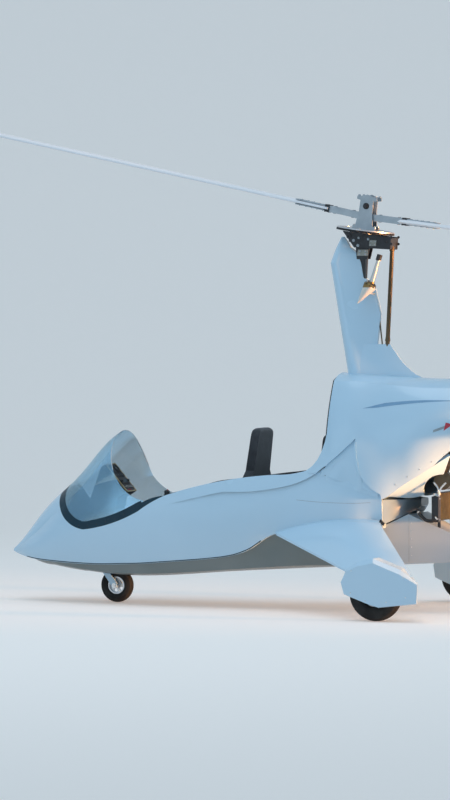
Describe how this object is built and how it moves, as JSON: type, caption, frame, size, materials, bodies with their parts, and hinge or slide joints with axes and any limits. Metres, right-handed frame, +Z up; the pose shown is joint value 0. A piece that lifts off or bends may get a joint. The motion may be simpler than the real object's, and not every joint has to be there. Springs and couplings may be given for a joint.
{
  "type": "open tandem two-seat gyrocopter",
  "caption": "Autogyro with a teetering rotor on a faired mast, open tandem cockpit, pusher propeller, stub wings with wheel spats and a boom-mounted tail.",
  "frame": {"origin": "on the ground under the rotor's teeter bolt, the bounding box's bottom centre", "axes": "+X forward to the nose, +Y to port, +Z up"},
  "size_m": [8.3803, 1.908, 3.4593],
  "materials": {
    "white_composite": "gloss",
    "dark_trim": "matte",
    "clear_screen": "clear",
    "black_frame": "satin",
    "white_metal": "satin",
    "bare_steel": "satin",
    "cast_alloy": "satin",
    "seat_cloth": "matte",
    "tyre_rubber": "matte"
  },
  "bodies": {
    "airframe": {"hull": "white_composite", "belly_pan": "white_composite", "engine_cowl": "white_composite", "mast_fairing": "white_composite", "stub_wing_left": "white_composite", "stub_wing_right": "white_composite", "tail_fairing": "white_composite", "stabiliser": "white_composite", "centre_fin": "white_composite", "windshield_frame": "dark_trim", "instrument_pod": "dark_trim", "bulkhead": "dark_trim", "control_sticks": "dark_trim", "windshield": "clear_screen", "mast_post": "black_frame", "head_frame": "black_frame", "engine_mount": "black_frame", "tail_bracket": "black_frame", "tail_boom": "white_metal", "axle_left": "bare_steel", "axle_right": "bare_steel", "control_rods": "bare_steel", "exhaust": "bare_steel", "engine": "cast_alloy", "radiator": "cast_alloy", "pedals": "cast_alloy", "prerotator": "cast_alloy", "front_seat": "seat_cloth", "rear_seat": "seat_cloth"},
    "nose_fork": {"nose_fork": "white_metal"},
    "nose_wheel": {"nose_tyre": "tyre_rubber", "nose_rim": "cast_alloy"},
    "main_wheel_left": {"main_tyre_left": "tyre_rubber", "main_rim_left": "cast_alloy"},
    "main_wheel_right": {"main_tyre_right": "tyre_rubber", "main_rim_right": "cast_alloy"},
    "tail_wheel": {"tail_wheel": "tyre_rubber"},
    "rudder": {"rudder": "white_composite"},
    "propeller": {"propeller": "dark_trim"},
    "rotor_head": {"rotor_tower": "cast_alloy", "ring_gear": "cast_alloy"},
    "rotor": {"hub_bar": "cast_alloy", "blade_front": "white_composite", "blade_rear": "white_composite"}
  },
  "joints": [
    {"name": "rotor_spin", "type": "hinge", "parent": "airframe", "child": "rotor_head", "pos_m": [0, 0, 2.635], "axis": [-0.1288, 0, 0.9917], "continuous": true},
    {"name": "rotor_teeter", "type": "hinge", "parent": "rotor_head", "child": "rotor", "pos_m": [0, 0, 2.635], "axis": [0, 1, 0], "range_deg": [-6, 6]},
    {"name": "propeller_spin", "type": "hinge", "parent": "airframe", "child": "propeller", "pos_m": [-1.06, 0, 1.33], "axis": [1, 0, 0], "continuous": true},
    {"name": "nose_steer", "type": "hinge", "parent": "airframe", "child": "nose_fork", "pos_m": [1.866, 0, 0.3], "axis": [0, 0, 1], "range_deg": [-30, 30]},
    {"name": "nose_wheel_spin", "type": "hinge", "parent": "nose_fork", "child": "nose_wheel", "pos_m": [1.784, 0, 0.114], "axis": [0, 1, 0], "continuous": true},
    {"name": "main_wheel_left_spin", "type": "hinge", "parent": "airframe", "child": "main_wheel_left", "pos_m": [-0.377, 0.88, 0.175], "axis": [0, 1, 0], "continuous": true},
    {"name": "main_wheel_right_spin", "type": "hinge", "parent": "airframe", "child": "main_wheel_right", "pos_m": [-0.377, -0.88, 0.175], "axis": [0, 1, 0], "continuous": true},
    {"name": "tail_wheel_spin", "type": "hinge", "parent": "airframe", "child": "tail_wheel", "pos_m": [-2.31, 0, 0.15], "axis": [0, 1, 0], "continuous": true},
    {"name": "rudder_hinge", "type": "hinge", "parent": "airframe", "child": "rudder", "pos_m": [-2.216, 0, 1.08], "axis": [0, 0, 1], "range_deg": [-25, 25]}
  ],
  "couplings": [
    {"joint": "nose_steer", "follows": "rudder_hinge", "ratio": -1.2}
  ]
}
